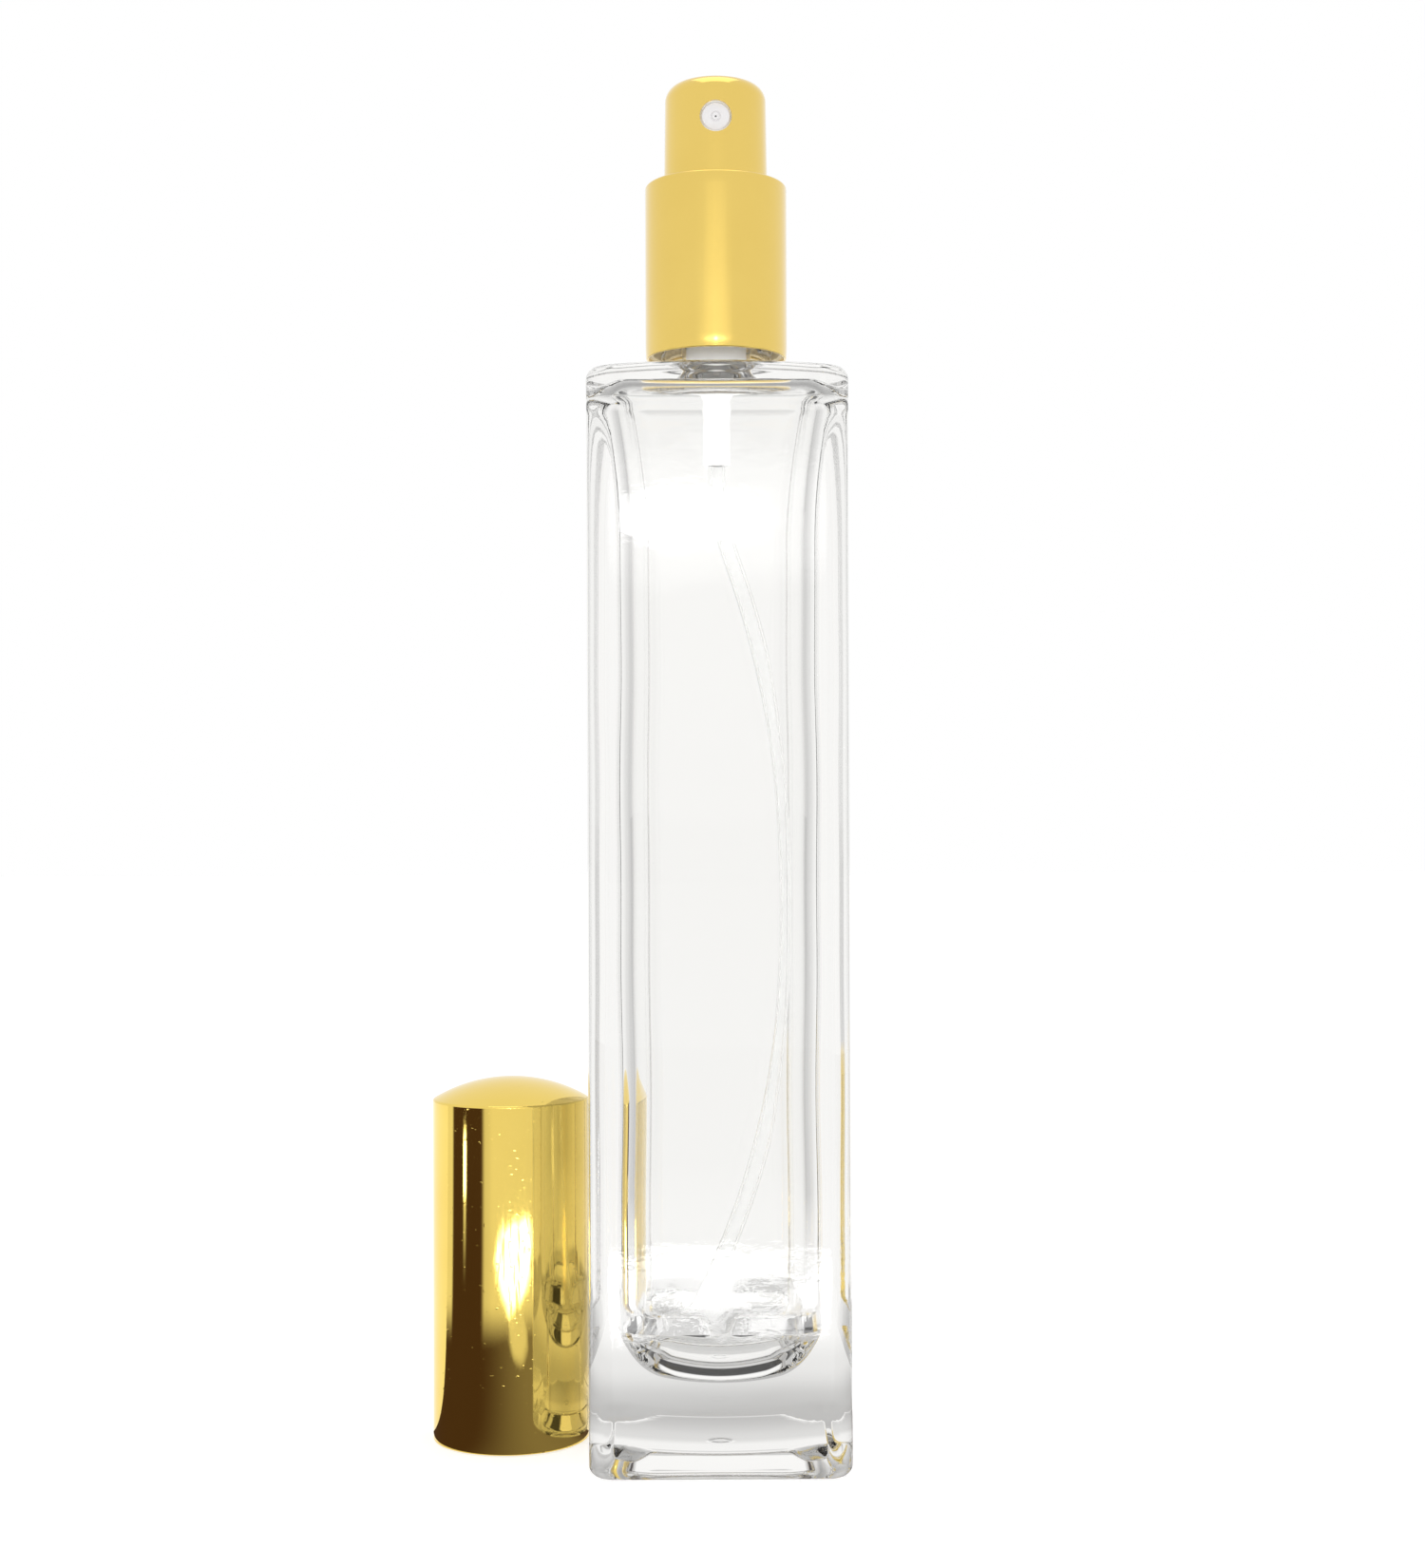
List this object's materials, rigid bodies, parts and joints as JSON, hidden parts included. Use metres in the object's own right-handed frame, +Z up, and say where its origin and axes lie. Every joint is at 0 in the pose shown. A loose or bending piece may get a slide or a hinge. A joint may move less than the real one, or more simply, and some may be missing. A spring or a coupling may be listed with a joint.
{
  "type": "aftershave bottle",
  "caption": "Tall square thick-walled glass bottle with a gold screw-on fine-mist sprayer, a bowed dip tube and a polished gold overcap standing beside it.",
  "frame": {"origin": "on the bottle's upright axis, in the plane that the bottle stands on", "axes": "+Z up along the bottle's axis; the spray leaves towards -Y; +X is on the right of someone facing the nozzle, and the overcap stands on the -X side"},
  "size_m": [0.0596, 0.036, 0.1948],
  "materials": {
    "clear_glass": "clear, fire-polished, faintly grey-green in thick section",
    "satin_gold": "anodised aluminium, satin gold",
    "polished_gold": "anodised aluminium, mirror-polished gold",
    "white_plastic": "moulded white polypropylene",
    "nozzle_plastic": "moulded white acetal, smooth",
    "clear_plastic": "extruded natural polyethylene, translucent",
    "seal_rubber": "soft white elastomer",
    "spring_steel": "drawn stainless wire",
    "ball_steel": "ground and polished stainless"
  },
  "bodies": {
    "bottle": {"glass_bottle": "clear_glass"},
    "pump": {"pump_housing": "white_plastic", "pump_retainer": "white_plastic", "neck_gasket": "seal_rubber", "stem_seal": "seal_rubber", "spring_seat": "white_plastic", "dip_tube": "clear_plastic", "return_spring": "spring_steel"},
    "closure": {"screw_closure": "white_plastic", "collar_shell": "satin_gold"},
    "plunger": {"upper_stem": "white_plastic", "valve_pin": "white_plastic", "precompression_spring": "spring_steel"},
    "piston": {"piston": "white_plastic"},
    "button": {"actuator_core": "white_plastic", "actuator_shell": "satin_gold", "nozzle_insert": "nozzle_plastic"},
    "ball": {"inlet_ball": "ball_steel"},
    "overcap": {"cap_shell": "polished_gold", "cap_liner": "white_plastic"}
  },
  "joints": [
    {"name": "pump_lift", "type": "slide", "parent": "bottle", "child": "pump", "axis": [0, 0, 1], "range_m": [0, 0.00555]},
    {"name": "closure_turn", "type": "hinge", "parent": "pump", "child": "closure", "pos_m": [0, 0, 0.1672], "axis": [0, 0, 1], "range_deg": [0, 630]},
    {"name": "spray_press", "type": "slide", "parent": "pump", "child": "plunger", "axis": [0, 0, -1], "range_m": [0, 0.005], "stiffness_N_per_m": 1000, "springref_m": -0.0003, "deforming": ["return_spring"]},
    {"name": "piston_slip", "type": "slide", "parent": "plunger", "child": "piston", "axis": [0, 0, 1], "range_m": [0, 0.0006], "stiffness_N_per_m": 400, "springref_m": -0.0003, "deforming": ["precompression_spring"]},
    {"name": "button_swivel", "type": "hinge", "parent": "plunger", "child": "button", "pos_m": [0, 0, 0.1792], "axis": [0, 0, 1], "continuous": true},
    {"name": "ball_lift", "type": "slide", "parent": "pump", "child": "ball", "axis": [0, 0, 1], "range_m": [0, 0.0008]},
    {"name": "cap_lift", "type": "slide", "parent": "bottle", "child": "overcap", "axis": [0, 0, 1], "range_m": [0, 0.2]}
  ],
  "couplings": [
    {"joint": "closure_turn", "follows": "pump_lift", "rad_per_m": 1979}
  ]
}
